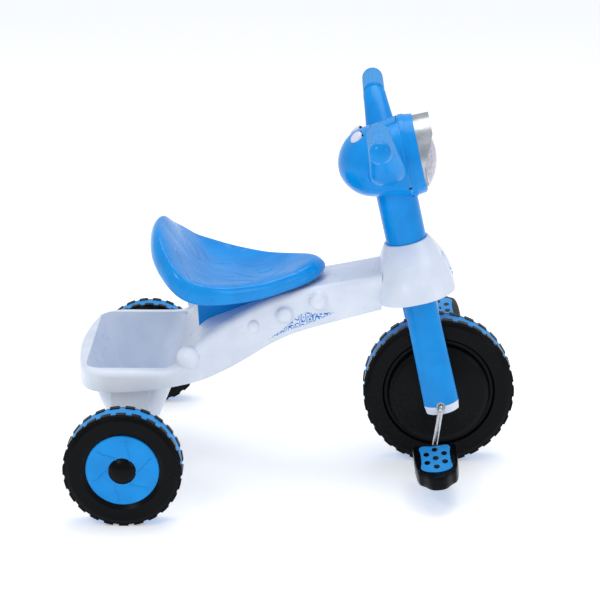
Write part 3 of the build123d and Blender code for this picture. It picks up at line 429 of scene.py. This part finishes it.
def make_saddle():
    mesh = bmesh.new()
    inner = [0.05, 0.22, 0.4, 0.56, 0.7, 0.8, 0.88, 0.94, 0.975]
    outer = [0.0, 0.035, 0.1, 0.22, 0.4, 0.62, 0.82, 1.0]

    def shape(k, angle):
        t = abs(angle) / math.pi
        side = 1 if angle >= 0 else -1
        rim = through(RIM, t)
        if k < len(inner):
            f = inner[k]
            ahead = DISH_MIDDLE + (rim[0] - DISH_MIDDLE) * f
            across = rim[1] * f
            base = floor_height(ahead)
            height = base + (rim[2] - base) * f**DISH_STEEPNESS
            return from_rear(ahead, side * across, height)
        f = outer[k - len(inner)]
        roll = through(ROLL, t)
        hem = through(HEM, t)
        # a quarter round from the rim out to the roll, then down to the hem
        if f <= ROLL_SHARE:
            turn = f / ROLL_SHARE * math.pi / 2
            out, down = math.sin(turn), 1 - math.cos(turn)
            at = [rim[0] + (roll[0] - rim[0]) * out, rim[1] + (roll[1] - rim[1]) * out]
            return from_rear(at[0], side * at[1], rim[2] + (roll[2] - rim[2]) * down)
        g = (f - ROLL_SHARE) / (1 - ROLL_SHARE)
        bend = g * g
        at = [roll[j] + (hem[j] - roll[j]) * (bend if j < 2 else g) for j in range(3)]
        return from_rear(at[0], side * at[1], at[2])

    loft(mesh, len(inner) + len(outer), 72, shape, caps=(True, False))
    material, tree, shader, place = moulded(
        "polypropylene_blue_saddle", *BLUE, (0.13, 0.24), 0.8, 0.006, {"Specular IOR Level": 0.3}
    )
    # shallow contour lines in the dish
    relief = noise(tree, place, 95, 1)
    rings = add(tree, "ShaderNodeMath", {0: relief, 1: 16.0}, operation="MULTIPLY").outputs[0]
    saw = add(tree, "ShaderNodeMath", {0: rings, 1: 1.0}, operation="PINGPONG").outputs[0]
    line = spread(tree, saw, 0, 1, 0.0, 0.12)
    below = shader.inputs["Normal"].links[0].from_socket
    plug(tree, shader, Normal=bump(tree, line, 0.5, 0.8, below=below))
    piece = finish_piece("saddle", mesh, "blue_plastic", "frame", ("seat",), material)
    wall = piece.modifiers.new("wall", "SOLIDIFY")
    wall.thickness = SADDLE_WALL * MM
    wall.offset = -1
    wall.use_even_offset = True
    subdivide(piece)


# ---- Wheel discs with curved ribs ----------------------------------------------------------------
def ribbed_disc(name, centre, side, body, slot, replaced, profile, ribs, segments=360):
    """A turned disc whose face carries curved ribs that end in dots.

    profile: (distance outboard, radius) pairs; ribs: (count, inner radius, dot radius, height).
    """
    mesh = bmesh.new()
    count, inner, outer, height = ribs
    step = 360 / count

    def rib_height(radius, degrees):
        """How far the rib pattern stands proud at a place on the face."""
        reach = (radius - inner) / (outer - inner)
        proud = 0.0
        if -0.05 <= reach <= 1:
            line = 22 - 26 * (1 - math.sin(math.pi / 2 * max(0, reach)))
            gap = (degrees - line + step / 2) % step - step / 2
            off = math.radians(gap) * radius
            proud = math.exp(-((off / 0.9) ** 2))
        gap = (degrees - 22 + step / 2) % step - step / 2
        off = math.hypot(math.radians(gap) * radius, radius - outer)
        return height * max(proud, math.exp(-((off / 2.1) ** 4)))

    start = [mesh.verts.new((0, a, r)) for a, r in profile]
    edges = [mesh.edges.new(pair) for pair in zip(start, start[1:])]
    bmesh.ops.spin(
        mesh,
        geom=start + edges,
        cent=(0, 0, 0),
        axis=(0, 1, 0),
        angle=2 * math.pi,
        steps=segments,
        use_merge=True,
    )
    for v in mesh.verts:
        radius = math.hypot(v.co.x, v.co.z)
        degrees = math.degrees(math.atan2(v.co.z, v.co.x))
        if inner - 2 < radius < outer + 6 and v.co.y > profile[0][0] + 0.5:
            v.co.y += rib_height(radius, degrees)
        v.co = centre + Vector((-side * v.co.x, side * v.co.y, v.co.z)) * MM
    return finish_piece(name, mesh, slot, body, replaced)


def radial(start, stop, count, face):
    """Points of a disc's face between two radii, where face(radius) is the distance outboard."""
    return [
        (face(start + (stop - start) * k / count), start + (stop - start) * k / count)
        for k in range(count + 1)
    ]


def make_wheel_discs():
    for name, side in SIDES.items():
        low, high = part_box(f"{name}_wheel_disc")
        centre = (low + high) / 2
        reach = [abs(low.y - wheel_middle[name].y), abs(high.y - wheel_middle[name].y)]
        back, face = min(reach) / MM, max(reach) / MM
        radius = (high.z - low.z) / 2 / MM
        centre.y = wheel_middle[name].y

        def front(r):
            fall = max(0, (r - 22) / (radius - 22))
            return face - 0.2 - 2.4 * fall**1.6

        edge = front(radius - 1.2)
        profile = [(back, 13.0), (face, 13.0), (face, 20.0), (face - 0.2, 21.0)]
        profile += radial(21.6, radius - 1.2, 44, front)
        profile += [(edge - 0.5, radius - 0.3), (edge - 1.2, radius), (back, radius)]
        ribs = (6, 20.5, 41.5, 1.15)
        ribbed_disc(
            f"{name}_ribbed_disc",
            centre,
            side,
            f"{name}_rear_wheel",
            "blue_plastic",
            (f"{name}_wheel_disc",),
            profile,
            ribs,
        )


def make_front_faces():
    """The front wheel's dished faces with their fine ribs, laid on the moulded halves."""
    rim, hub, dish = 66, 24, 9.2

    def face(radius):
        """Distance of the face outboard: it rises from the rim to the hub."""
        return 31.2 + (rim - radius) / (rim - hub) * dish

    for name, side in SIDES.items():
        profile = [(30.9, 66.4)] + radial(65.5, 25.5, 48, face) + [(face(25) - 0.5, 24.9)]
        profile.reverse()
        ribs = (6, 30, 58, 1.0)
        piece_name = f"front_wheel_face_{name}"
        ribbed_disc(
            piece_name, front_axle, side, "front_wheel", "black_plastic", (), profile, ribs
        )


# ---- Head: ball, dashboard, buttons and screws ---------------------------------------------------
HEAD_HEIGHT = 352  # middle of the ball along the steering axis
HEAD_SHIFT = -2
# stations of the ball from back to front: ahead, top, bottom, half width
HEAD = [
    (-71, 0.4, 0.4, 0.4),
    (-70, 10, 9, 14),
    (-67, 19.5, 17, 25),
    (-61, 30, 27, 37),
    (-52, 40, 36.5, 47.5),
    (-40, 47.5, 43.5, 56.5),
    (-25, 51.5, 47.5, 63),
    (-8, 53.5, 50.5, 66),
    (10, 56, 54, 65),
    (26.5, 58.6, 58.2, 61),
]


def on_head(ahead, across):
    """The place on the upper half of the ball's skin, and the way out of it."""
    back_lean = 0.09
    for row, after in zip(HEAD, HEAD[1:]):
        if ahead <= after[0]:
            break
    f = (ahead - row[0]) / (after[0] - row[0])
    top, wide = (row[j] + (after[j] - row[j]) * f for j in (1, 3))
    up = top * math.sqrt(max(0, 1 - (across / wide) ** 2))
    out = ACROSS * (across / wide**2) + UPWARD * (up / top**2) - FORWARD * (back_lean / top)
    return steer(ahead + HEAD_SHIFT, across, HEAD_HEIGHT + up), out.normalized()


def ribbon(name, path, width, material, slot):
    """A narrow strip on the ball's skin along a path of (ahead, across)."""
    mesh = bmesh.new()
    points = [on_head(*at) for at in path]
    edges = []
    for k, (point, out) in enumerate(points):
        before, after = points[max(k - 1, 0)][0], points[min(k + 1, len(points) - 1)][0]
        square = (after - before).cross(out).normalized() * width / 2 * MM
        lifted = point + out * 0.25 * MM
        edges.append((lifted - square, lifted + square))
    count = len(edges)
    bmesh.ops.create_grid(mesh, x_segments=1, y_segments=count - 1, size=1)
    mesh.verts.ensure_lookup_table()
    for vertex in mesh.verts:
        k = round((vertex.co.y + 1) / 2 * (count - 1))
        vertex.co = edges[k][1 if vertex.co.x > 0 else 0]
    finish_piece(name, mesh, slot, "steering", (), material)


def between(corners, count):
    """Points along straight runs between corners."""
    path = []
    for a, b in zip(corners, corners[1:]):
        path += [tuple(p + (q - p) * k / count for p, q in zip(a, b)) for k in range(count)]
    return path + [corners[-1]]


def make_head():
    mesh = bmesh.new()
    rings = 40

    def ball_shape(k, angle):
        t = (k / (rings - 1)) ** 1.15
        ahead, top, low, wide = through(HEAD, t)
        up = math.sin(angle) * (top if math.sin(angle) > 0 else low)
        return steer(ahead + HEAD_SHIFT, wide * math.cos(angle), HEAD_HEIGHT + up)

    loft(mesh, rings, 96, ball_shape)
    replaced = ("head_shell", "dashboard_panel")
    finish_piece("head_ball", mesh, "blue_plastic", "steering", replaced)
    # a thin deep blue strip along the dashboard's joint line: painted shade of the gap, not a colour of the
    # plastic
    seam = [(23, -19), (23, 19), (-14, 23), (-14, -23), (23, -19)]
    ribbon("dashboard_seam", between(seam, 10), 0.9, MATERIALS["seam"], "blue_plastic")
    arc = [(8 - 13 * math.cos(a / 10), 17 * math.sin(a / 10)) for a in range(-13, 14)]
    ribbon("dial_ring", arc, 2.6, MATERIALS["plated_plastic"], "plated_plastic")
    make_push_caps()
    make_ball_screws()


def make_push_caps():
    """A round cap on each button, domed at its edge. Its profile: height, radius."""
    profile = [(-5, 9.9), (0.6, 9.9), (1.7, 9.5), (2.5, 8.6), (3.0, 7.0), (3.4, 3.5), (3.5, 0.3)]
    for name, side in SIDES.items():
        press = next(j for j in frame["joints"] if j["name"] == f"{name}_button_press")
        out = -Vector(press["axis"]).normalized()
        place, _ = on_head(-36, side * 21)
        flat = out.cross(ACROSS).normalized()
        square = out.cross(flat)
        cap = bmesh.new()

        def cap_shape(k, angle):
            high, r = profile[k]
            turn = flat * math.cos(angle) + square * math.sin(angle)
            return place + (out * high + turn * r) * MM

        loft(cap, len(profile), 40, cap_shape)
        button = f"{name}_button"
        finish_piece(f"{name}_push_cap", cap, "button_plastic", button, (button,))


def make_ball_screws():
    """Dark countersunk screws low on the ball, two a side. Their profile: height, radius."""
    profile = [(-2.0, 2.6), (0.3, 2.6), (0.5, 2.2), (0.1, 0.5)]
    back, front = HEAD[0][0], HEAD[-1][0]
    crowding = 0.62  # the ball's stations lie closer together at the back
    screws = bmesh.new()
    for side in SIDES.values():
        for ahead, up in ((-40, -36), (24, -36)):
            _, _, low, wide = through(HEAD, ((ahead - back) / (front - back)) ** crowding)
            across = wide * math.sqrt(max(0, 1 - (up / low) ** 2))
            out = (ACROSS * side * across / wide**2 + UPWARD * up / low**2).normalized()
            place = steer(ahead + HEAD_SHIFT, side * across, HEAD_HEIGHT + up)
            flat = out.cross(FORWARD).normalized()
            square = out.cross(flat)

            def screw_shape(k, angle):
                high, r = profile[k]
                turn = flat * math.cos(angle) + square * math.sin(angle)
                return place + (out * high + turn * r) * MM

            loft(screws, len(profile), 20, screw_shape)
    replaced = ("head_screws", "handlebar_screws")
    finish_piece("ball_screws", screws, "zinc_steel", "steering", replaced, MATERIALS["screws"])


# ---- Bumps on the beam's sides -------------------------------------------------------------------
OUTSIDE = 140  # a place beyond the beam's sides, to look in at them from


def make_beam_bumps():
    """Three rounded bosses a side, steep at the front and faired towards the back."""
    beam = nodes["front_beam"]
    along = Vector((0.94, 0, 0.34))
    up = Vector((-0.34, 0, 0.94))
    height, root, sunk = 7.0, -5.0, 1.5
    fairing, forward_lean = 1.25, 0.12
    arc = 9  # rings from the tip to the foot, and one more inside the beam
    for name, side in SIDES.items():
        mesh = bmesh.new()
        for ahead, up_by, size in ((172, 226, 9.5), (218, 240, 10.5), (266, 260, 10.5)):
            start = from_rear(ahead, side * OUTSIDE, up_by)
            _, where, _, _ = beam.ray_cast(start, Vector((0, -side, 0)))

            def bump_shape(k, angle):
                turn = k / arc * math.pi / 2
                out, r = math.cos(turn) * height, size * math.sin(turn) + 0.02
                if k > arc:
                    out, r = root, size
                x = r * math.cos(angle)
                if x < 0:
                    x *= fairing
                move = along * (x + forward_lean * out) + up * (r * math.sin(angle))
                return where + (move + Vector((0, side * (out - sunk), 0))) * MM

            loft(mesh, arc + 2, 40, bump_shape)
        finish_piece(f"{name}_beam_bumps", mesh, "white_plastic", "frame")


# ---- Handlebar arms and grips --------------------------------------------------------------------
# stations of an arm: across, height along the steering axis, half length, half height, lay
ARM = [
    (40, 339, 27, 17, 46),
    (52, 344, 27, 19, 46),
    (66, 353, 25.5, 19, 44),
    (80, 367, 22.5, 18, 42),
    (94, 383, 20, 16.8, 44),
    (108, 398, 18, 16, 52),
    (121, 411, 16.5, 15.6, 68),
    (133, 421, 15.6, 15.5, 88),
]


def make_handlebar():
    for name, side in SIDES.items():
        low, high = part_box(f"{name}_grip")
        near, far = sorted((abs(low.y) / MM, abs(high.y) / MM))
        bar = middle(f"{name}_grip")
        lift = (bar - front_axle).dot(UPWARD) / MM
        shift = (bar - front_axle).dot(FORWARD) / MM
        radius = (high.x - low.x) / 2 / MM
        mesh = bmesh.new()
        rings = 22

        def arm_shape(k, angle):
            across, up, long, tall, lay = through(ARM, k / (rings - 1))
            lay = math.radians(lay)
            away = ACROSS * side * math.cos(lay) - UPWARD * math.sin(lay)
            point = steer(shift, side * across, up)
            swell = 1 + 0.06 * math.cos(2 * angle)
            point += FORWARD * math.cos(angle) * long * swell * MM
            return point + away * math.sin(angle) * tall * swell * MM

        loft(mesh, rings, 48, arm_shape)
        replaced = (f"{name}_handlebar",)
        subdivide(finish_piece(f"{name}_arm", mesh, "blue_plastic", "steering", replaced))

        # the core shows as a shallow collar at the grip's outer end and a round cap
        core = bmesh.new()
        collar, dome = far + 4, 11
        cap = [(near - 2, 14.6), (far, 14.6), (far, 15.4), (collar, 15.5)]
        for k in range(1, 9):
            turn = k / 8 * math.pi / 2
            cap.append((collar + dome * math.sin(turn), max(0.2, 15.5 * math.cos(turn))))

        def core_shape(k, angle):
            along, r = cap[k]
            point = steer(shift, side * along, lift)
            return point + (FORWARD * math.cos(angle) + UPWARD * math.sin(angle)) * r * MM

        loft(core, len(cap), 48, core_shape)
        finish_piece(f"{name}_bar_end", core, "blue_plastic", "steering")

        grip = bmesh.new()
        flutes, flute_depth, end_share = 18, 0.75, 0.06
        stations = [0, 0.012, 0.03, 0.06, 0.12, 0.5, 0.88, 0.94, 0.97, 0.988, 1]

        def grip_shape(k, angle):
            f = stations[k]
            ends = min(1, min(f, 1 - f) / end_share)
            depth = flute_depth * ends
            r = radius - 0.15 - depth * (0.5 - 0.5 * math.cos(flutes * angle))
            r -= 0.9 * (1 - ends) ** 2
            point = steer(shift, side * (near + f * (far - near)), lift)
            return point + (FORWARD * math.cos(angle) + UPWARD * math.sin(angle)) * r * MM

        loft(grip, len(stations), flutes * 10, grip_shape)
        replaced = (f"{name}_grip",)
        finish_piece(f"{name}_fluted_grip", grip, "soft_blue_plastic", "steering", replaced)


# ---- Pedals --------------------------------------------------------------------------------------
def make_pedals():
    tilt = math.radians(6)
    along = Vector((math.cos(tilt), 0, math.sin(tilt)))
    top = Vector((-math.sin(tilt), 0, math.cos(tilt)))
    half_width, half_height = 31.2, 10.4
    shoulder = 18  # from the inner end to where the sides begin to taper
    pad_middle, pad_half_width, pad_half_length = 53, 24, 47.5
    # sections of the block from bottom to top: share of its half height, drawn in by
    levels = [(-1, 3.2), (-0.93, 1.2), (-0.75, 0.2), (-0.3, 0)]
    levels += [(-level, shrink) for level, shrink in reversed(levels)]
    # and of a pad, and of a stud: height above the block, drawn in by or scale
    pad_rows = [(-2.0, 0), (-0.2, 0), (0.1, 0.25), (0.25, 0.9)]
    stud_rows = [(-0.5, 1.0), (0.32, 1.0), (0.42, 0.86)]
    stud_places = [(0, 53), (0, 84), (0, 22), (12.5, 68), (12.5, 38), (-12.5, 68), (-12.5, 38)]
    for name, side in SIDES.items():
        low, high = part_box(f"{name}_pedal")
        inner = min(abs(low.y), abs(high.y)) / MM
        length = (high.y - low.y) / MM
        spindle = pedal_middle[name]

        def place(ahead, out, up):
            point = Vector((spindle.x, side * (inner + out) * MM, spindle.z))
            return point + (along * ahead + top * up) * MM

        def outline(angle, shrink):
            """The pedal from above: square shoulders inboard, a bulged nose with a waist outboard."""
            c, s = math.cos(angle), math.sin(angle)
            if s < 0:
                power = 0.28
                x = math.copysign(abs(c) ** power, c)
                y = -(abs(s) ** power)
                return x * (half_width - shrink), shoulder + y * (shoulder - shrink)
            reach = length - shoulder
            x = math.copysign(abs(c) ** 0.62, c) * (half_width - shrink)
            bulge = 0.955 + 0.045 * math.cos(6 * (angle - math.pi / 2))
            return x, shoulder + abs(s) ** 0.55 * (reach - shrink) * bulge

        mesh = bmesh.new()

        def body_shape(k, angle):
            level, shrink = levels[k]
            x, y = outline(angle, shrink)
            return place(x, y, level * half_height)

        loft(mesh, len(levels), 120, body_shape)
        body = f"{name}_pedal"
        finish_piece(f"{name}_pedal_block", mesh, "black_plastic", body, (body,))

        for level, way in (("top", 1), ("bottom", -1)):
            pad = bmesh.new()

            def pad_shape(k, angle):
                """A pad from above: a rounded oblong with a waist and wavy ends."""
                up, shrink = pad_rows[k]
                c, s = math.cos(angle), math.sin(angle)
                waist = 1 - 0.14 * math.exp(-((s / 0.34) ** 2))
                x = math.copysign(abs(c) ** 0.42, c) * (pad_half_width - shrink) * waist
                y = math.copysign(abs(s) ** 0.42, s) * (pad_half_length - shrink)
                y += 3.2 * math.cos(x / pad_half_width * math.pi)
                return place(x, pad_middle + y, way * (half_height + up))

            loft(pad, len(pad_rows), 120, pad_shape)
            replaced = (f"{name}_pedal_pad_{level}",)
            finish_piece(f"{name}_pad_{level}", pad, "soft_blue_plastic", body, replaced)
            studs = bmesh.new()
            for x, y in stud_places:

                def stud_shape(k, angle):
                    up, size = stud_rows[k]
                    return place(
                        x + 4.6 * size * math.cos(angle),
                        y + 8.2 * size * math.sin(angle),
                        way * (half_height + up),
                    )

                loft(studs, len(stud_rows), 6, stud_shape)
            finish_piece(f"{name}_studs_{level}", studs, "black_plastic", body, smooth=False)


# ---- Printed ornament on the beam ----------------------------------------------------------------
def make_ornament():
    """A thin printed film that follows the beam's side, with curling tendrils."""
    material, tree, shader, place = moulded(
        "film_printed_ornament", *WHITE, (0.26, 0.38), 0.7, 0.006, {"IOR": 1.5}
    )
    swirl = noise(tree, place, 8, 0)
    rings = add(tree, "ShaderNodeMath", {0: swirl, 1: 12.0}, operation="MULTIPLY")
    curl = add(tree, "ShaderNodeMath", {0: rings.outputs[0], 1: 1.0}, operation="PINGPONG")
    ink = spread(tree, curl.outputs[0], 1, 0, 0.40, 0.52)
    edge = add(tree, "ShaderNodeAttribute", attribute_name="print").outputs["Fac"]
    amount = add(tree, "ShaderNodeMath", {0: ink, 1: edge}, operation="MULTIPLY").outputs[0]
    plain = shader.inputs["Base Color"].links[0].from_socket
    links = {0: amount, 6: plain, 7: linear("1F7BCB")}
    mix = add(tree, "ShaderNodeMix", links, data_type="RGBA")
    plug(tree, shader, Base_Color=mix.outputs[2])
    beam = nodes["front_beam"]
    half_width = 54  # of the beam, where a ray from outside misses it
    # the printed patch's edges: ahead of the rear axle, height
    lower = [(196, 203.5), (222, 214), (246, 222), (268, 231), (288, 241.5)]
    upper = [(196, 204.5), (220, 222), (244, 241.5), (266, 240.5), (288, 242.5)]
    for name, side in SIDES.items():
        mesh = bmesh.new()
        bmesh.ops.create_grid(mesh, x_segments=60, y_segments=10, size=1)
        ink_layer = mesh.verts.layers.float.new("print")
        for v in mesh.verts:
            f, g = (v.co.x + 1) / 2, (v.co.y + 1) / 2
            low, high = through(lower, f), through(upper, f)
            ahead = low[0] + (high[0] - low[0]) * g
            height = low[1] + (high[1] - low[1]) * g
            start = from_rear(ahead, side * OUTSIDE, height)
            hit, where, _, _ = beam.ray_cast(start, Vector((0, -side, 0)))
            if not hit:
                where = from_rear(ahead, side * half_width, height)
            v.co = where + Vector((0, side * 0.15 * MM, 0))
            v[ink_layer] = min(1, 12 * g * (1 - g)) * min(1, 30 * f * (1 - f))
        finish_piece(f"{name}_ornament", mesh, "white_plastic", "frame", (), material)


# ---- Set, light and camera -----------------------------------------------------------------------
CAMERA_PLACE = Vector((0.2708, -2.8774, 1.1798))  # metres, from below the rear axle
CAMERA_TILT, CAMERA_TURN = 18.03, 0.64  # degrees down, and to the left
CAMERA_LENS = 125.3


def make_set():
    scene = bpy.context.scene
    mesh = bmesh.new()
    bmesh.ops.create_grid(mesh, x_segments=1, y_segments=1, size=20)
    data = bpy.data.meshes.new("studio_floor")
    mesh.to_mesh(data)
    mesh.free()
    floor = bpy.data.objects.new("studio_floor", data)
    scene.collection.objects.link(floor)
    # Paper, coated matt: near white, with faint cloudy fibre and a little light of its own.
    glow = {"Roughness": 0.9, "Emission Strength": 0.30, "Emission Color": linear("FFFFFF")}
    material, tree, shader, place = new_material("paper_backdrop_matt", glow)
    fibre = noise(tree, place, 60, 3)
    plug(tree, shader, Base_Color=tone(tree, fibre, "FAFBFD", "FDFDFE"))
    data.materials.append(material)

    world = bpy.data.worlds.new("studio")
    world.use_nodes = True
    background = world.node_tree.nodes["Background"].inputs
    background["Color"].default_value = linear("F4F7FC")
    background["Strength"].default_value = 0.68
    scene.world = world

    def lamp(name, place, aim, size, power):
        data = bpy.data.lights.new(name, "AREA")
        data.shape = "RECTANGLE"
        data.size, data.size_y = size
        data.energy = power
        lamp_object = bpy.data.objects.new(name, data)
        scene.collection.objects.link(lamp_object)
        lamp_object.location = place
        way = Vector(aim) - Vector(place)
        lamp_object.rotation_euler = way.to_track_quat("-Z", "Y").to_euler()

    lamp("key_softbox", (-1.3, -2.0, 2.2), (0, 0, 0.25), (0.7, 0.7), 12)
    lamp("top_softbox", (0.2, 0.4, 2.6), (0, 0, 0.2), (2.0, 1.4), 26)
    lamp("fill_softbox", (1.9, -1.5, 1.2), (0.1, 0, 0.25), (0.5, 1.2), 4)

    camera_data = bpy.data.cameras.new("camera")
    camera_data.sensor_width = 36
    camera_data.lens = CAMERA_LENS
    camera = bpy.data.objects.new("camera", camera_data)
    scene.collection.objects.link(camera)
    camera.location = Vector((rear_axle.x, 0, 0)) + CAMERA_PLACE
    camera.rotation_euler = Euler((math.radians(90 - CAMERA_TILT), 0, math.radians(CAMERA_TURN)))
    scene.camera = camera
    scene.view_settings.view_transform = "Standard"


make_saddle()
make_wheel_discs()
make_front_faces()
make_head()
make_beam_bumps()
make_handlebar()
make_pedals()
make_ornament()
make_set()
